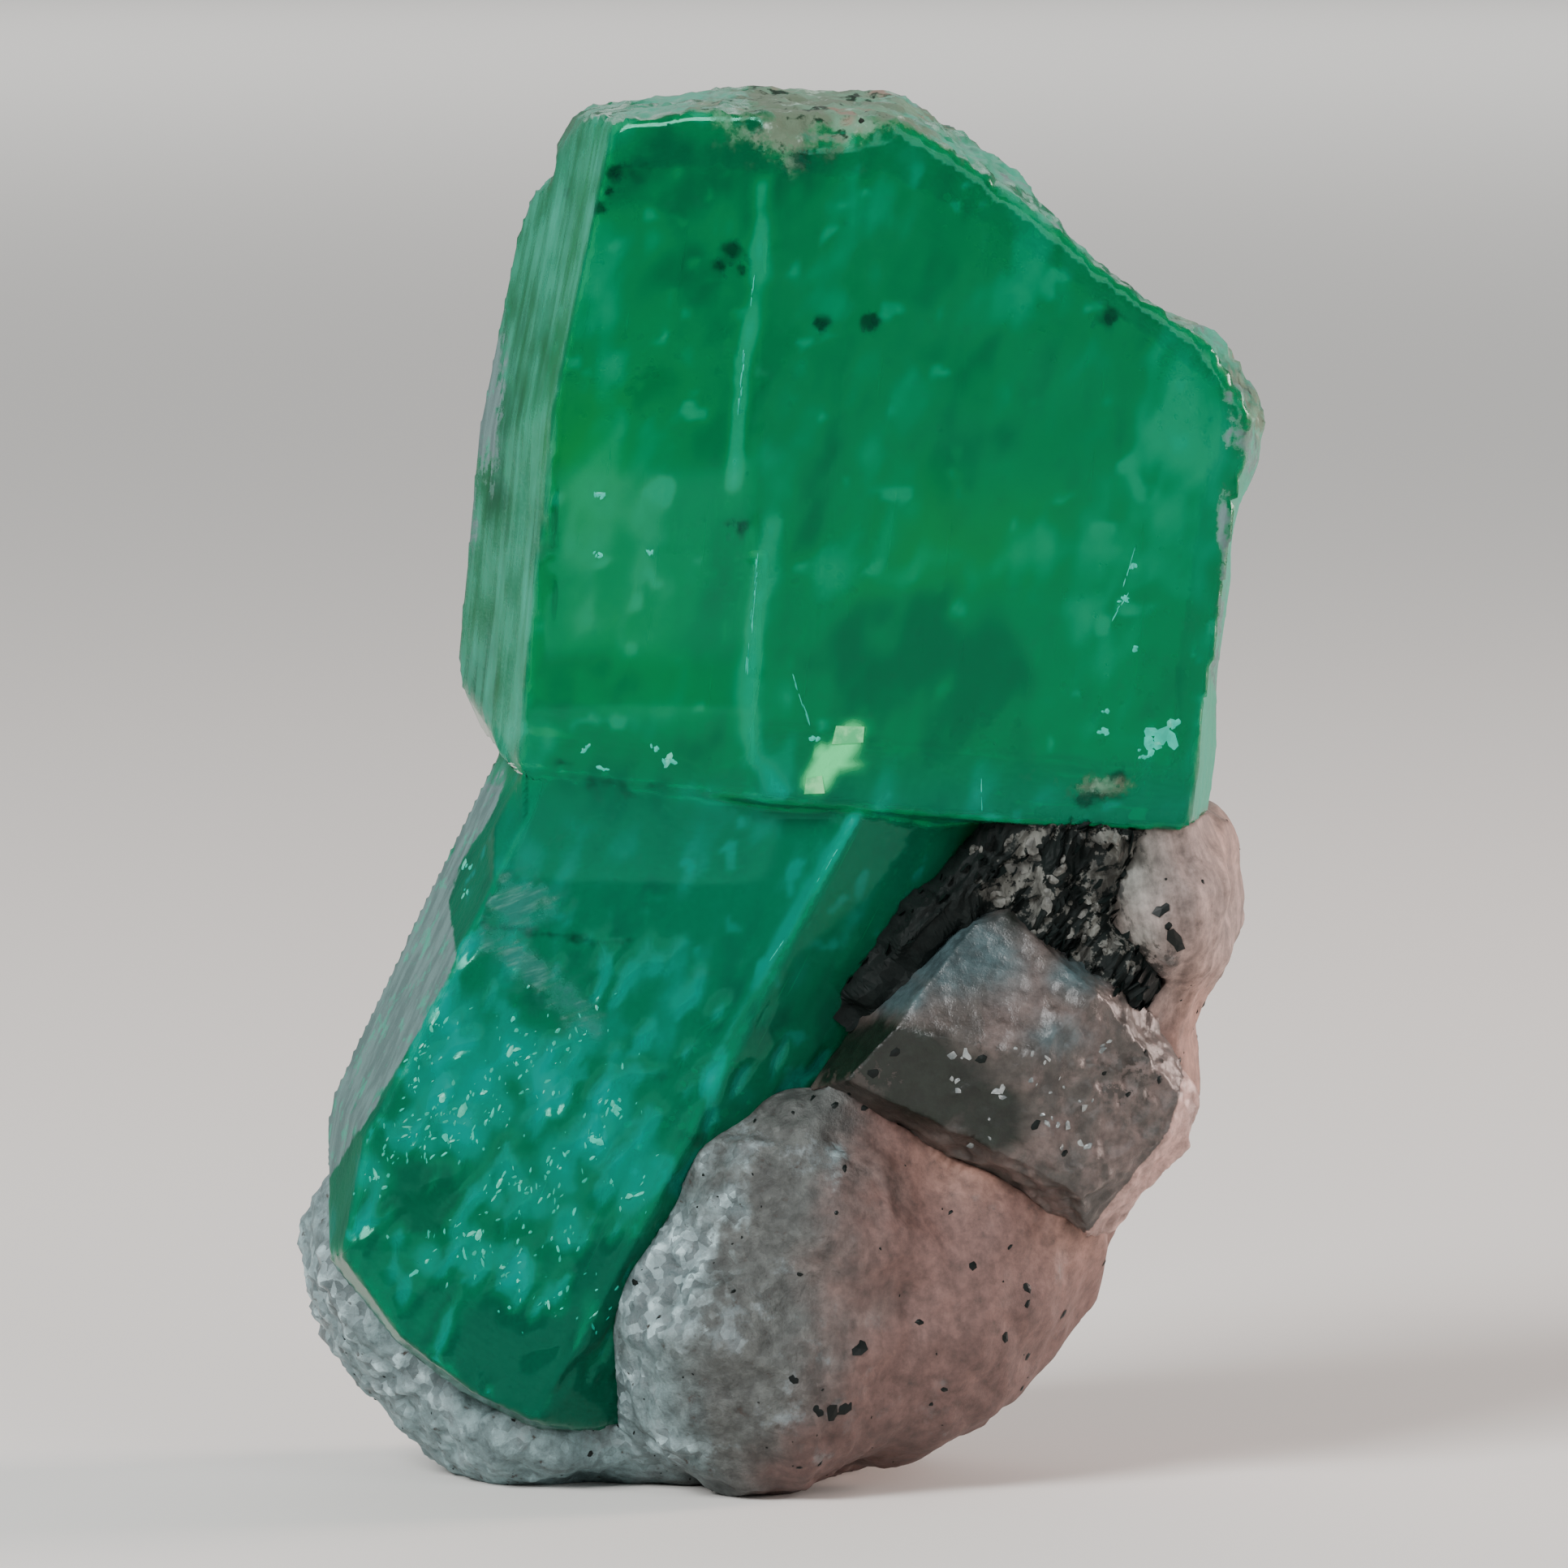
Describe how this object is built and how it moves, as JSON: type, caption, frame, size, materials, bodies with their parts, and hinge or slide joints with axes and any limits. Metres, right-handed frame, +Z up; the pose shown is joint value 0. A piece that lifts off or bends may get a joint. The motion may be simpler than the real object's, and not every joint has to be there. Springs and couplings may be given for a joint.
{
  "type": "emerald in matrix specimen",
  "caption": "Hand-size mineral specimen: two intergrown emerald prisms held in a rounded feldspar matrix with grey quartz and black mica, standing on a flat cut.",
  "frame": {"origin": "middle of the specimen's footprint box, on the flat cut that it stands on", "axes": "+Z up through the emerald, the show side faces -Y, +X is to the right of the show side"},
  "size_m": [0.0276, 0.019, 0.0399],
  "materials": {
    "emerald": "gloss",
    "quartz": "satin",
    "mica": "satin",
    "feldspar": "matte"
  },
  "bodies": {
    "root": {"emerald": "emerald", "quartz": "quartz", "mica_seam": "mica", "feldspar_matrix": "feldspar"}
  },
  "joints": []
}
